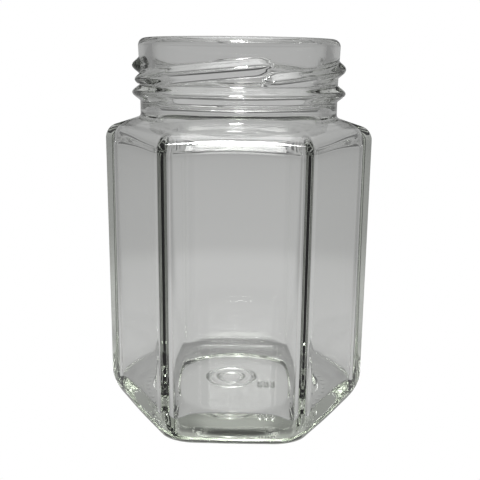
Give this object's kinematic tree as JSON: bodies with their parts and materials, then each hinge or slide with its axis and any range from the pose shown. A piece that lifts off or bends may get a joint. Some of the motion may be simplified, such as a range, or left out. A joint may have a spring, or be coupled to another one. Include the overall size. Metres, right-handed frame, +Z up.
{
  "type": "hexagonal preserve jar",
  "caption": "Open clear-glass hexagonal jar with a thick heel, a short shoulder and a round neck with lug threads for a twist-off lid.",
  "frame": {"origin": "middle of the base, at the level of the ring that the jar stands on", "axes": "+Z up through the mouth; flat side walls face -Y and +Y, upright corners point along -X and +X"},
  "size_m": [0.0528, 0.0462, 0.0759],
  "materials": {
    "clear_glass": "clear moulded glass, smooth and glossy, with a faint green-grey tint where it is thick"
  },
  "bodies": {
    "root": {"jar": "clear_glass"}
  },
  "joints": []
}
